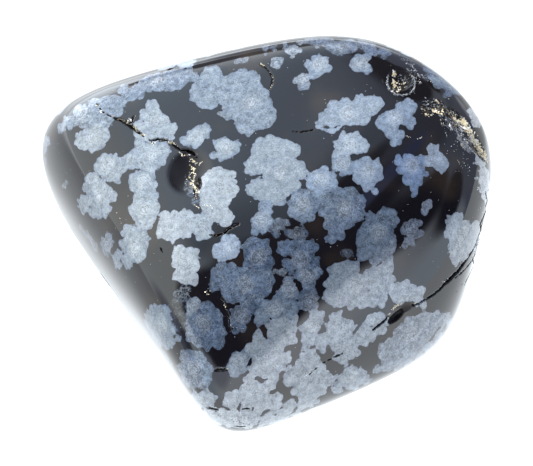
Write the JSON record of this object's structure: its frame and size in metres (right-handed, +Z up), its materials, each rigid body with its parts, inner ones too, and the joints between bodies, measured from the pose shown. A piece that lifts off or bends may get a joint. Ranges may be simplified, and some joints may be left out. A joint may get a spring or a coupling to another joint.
{
  "type": "tumbled snowflake obsidian pebble",
  "caption": "Polished pebble of black volcanic glass with grey snowflake rosettes, worn to soft faces and chipped in places. Rests on its flat underside.",
  "frame": {"origin": "middle of the pebble's bounding box, in the level face that it rests on", "axes": "+X along the pebble's longest extent, towards its right end with the scarred shoulder; +Y towards its high back; +Z up, through the thickness"},
  "size_m": [0.0302, 0.027, 0.0163],
  "materials": {
    "obsidian": "polished"
  },
  "bodies": {
    "root": {"stone": "obsidian"}
  },
  "joints": []
}
